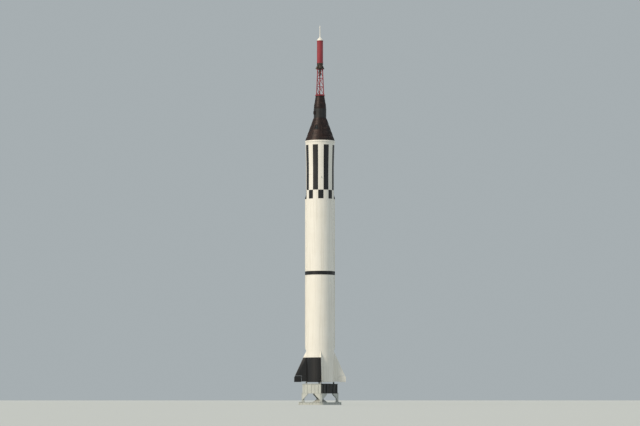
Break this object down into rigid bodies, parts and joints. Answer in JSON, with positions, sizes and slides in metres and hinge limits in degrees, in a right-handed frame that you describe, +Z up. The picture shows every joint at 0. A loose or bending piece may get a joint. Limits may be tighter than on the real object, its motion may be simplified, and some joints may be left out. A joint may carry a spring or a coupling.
{
  "type": "suborbital crewed space rocket on its launch stand",
  "caption": "Tall slim rocket with a cone-shaped crew capsule, a lattice escape tower and a finned tail with rudders and jet vanes, standing on a square launch stand.",
  "frame": {"origin": "centre of the launch stand's underside, on the rocket's axis", "axes": "+Z up along the rocket's axis, -Y towards the front fin, +X towards the right fin"},
  "size_m": [3.3, 3.3, 24.35],
  "materials": {
    "white_paint": "satin white paint",
    "black_paint": "satin black paint",
    "red_paint": "satin red paint, a little faded",
    "grey_paint": "matt grey paint",
    "shingle_metal": "oxidised black corrugated alloy",
    "dark_steel": "heat-darkened steel",
    "engine_metal": "bare welded steel",
    "graphite": "matt machined graphite",
    "window_glass": "clear thick glass",
    "shield_resin": "matt glass-fibre resin"
  },
  "bodies": {
    "airframe": {"stand_base_frame": "grey_paint", "flame_deflector": "grey_paint", "stand_leg_front": "grey_paint", "stand_leg_right": "grey_paint", "stand_leg_rear": "grey_paint", "stand_leg_left": "grey_paint", "stand_table": "grey_paint", "tail_unit": "white_paint", "fin_front": "white_paint", "fin_right": "white_paint", "fin_rear": "white_paint", "fin_left": "white_paint", "engine_bell": "engine_metal", "engine_block": "engine_metal", "base_heat_shield": "dark_steel", "lower_tank_section": "white_paint", "tank_joint_ring": "black_paint", "upper_tank_section": "white_paint", "instrument_section": "white_paint", "instrument_door_right": "white_paint", "instrument_door_left": "white_paint", "spacecraft_adapter": "white_paint", "cable_duct_right": "white_paint", "cable_duct_left": "white_paint", "capsule_clamp_ring": "white_paint", "heat_shield": "shield_resin", "cabin_shell": "shingle_metal", "hatch": "shingle_metal", "window_pane": "window_glass", "recovery_section": "shingle_metal", "antenna_canister": "shingle_metal", "horizon_sensor_upper": "shingle_metal", "horizon_sensor_lower": "shingle_metal", "tower_clamp_ring": "red_paint", "escape_tower": "red_paint", "escape_nozzle_cluster": "dark_steel", "jettison_motor": "dark_steel", "escape_motor": "red_paint", "nose_spike": "white_paint"},
    "front_rudder": {"rudder_front": "white_paint"},
    "right_rudder": {"rudder_right": "white_paint"},
    "rear_rudder": {"rudder_rear": "white_paint"},
    "left_rudder": {"rudder_left": "white_paint"},
    "front_vane": {"jet_vane_front": "graphite"},
    "right_vane": {"jet_vane_right": "graphite"},
    "rear_vane": {"jet_vane_rear": "graphite"},
    "left_vane": {"jet_vane_left": "graphite"}
  },
  "joints": [
    {"name": "rudder_front_turn", "type": "hinge", "parent": "airframe", "child": "front_rudder", "pos_m": [0, -1.19, 1.75], "axis": [0, -1, 0], "range_deg": [-25, 25]},
    {"name": "rudder_right_turn", "type": "hinge", "parent": "airframe", "child": "right_rudder", "pos_m": [1.19, 0, 1.75], "axis": [1, 0, 0], "range_deg": [-25, 25]},
    {"name": "rudder_rear_turn", "type": "hinge", "parent": "airframe", "child": "rear_rudder", "pos_m": [0, 1.19, 1.75], "axis": [0, 1, 0], "range_deg": [-25, 25]},
    {"name": "rudder_left_turn", "type": "hinge", "parent": "airframe", "child": "left_rudder", "pos_m": [-1.19, 0, 1.75], "axis": [-1, 0, 0], "range_deg": [-25, 25]},
    {"name": "vane_front_turn", "type": "hinge", "parent": "airframe", "child": "front_vane", "pos_m": [0, -0.43, 1.69], "axis": [0, -1, 0], "range_deg": [-25, 25]},
    {"name": "vane_right_turn", "type": "hinge", "parent": "airframe", "child": "right_vane", "pos_m": [0.43, 0, 1.69], "axis": [1, 0, 0], "range_deg": [-25, 25]},
    {"name": "vane_rear_turn", "type": "hinge", "parent": "airframe", "child": "rear_vane", "pos_m": [0, 0.43, 1.69], "axis": [0, 1, 0], "range_deg": [-25, 25]},
    {"name": "vane_left_turn", "type": "hinge", "parent": "airframe", "child": "left_vane", "pos_m": [-0.43, 0, 1.69], "axis": [-1, 0, 0], "range_deg": [-25, 25]}
  ],
  "couplings": [
    {"joint": "vane_front_turn", "follows": "rudder_front_turn", "ratio": 1},
    {"joint": "vane_right_turn", "follows": "rudder_right_turn", "ratio": 1},
    {"joint": "vane_rear_turn", "follows": "rudder_rear_turn", "ratio": 1},
    {"joint": "vane_left_turn", "follows": "rudder_left_turn", "ratio": 1}
  ]
}
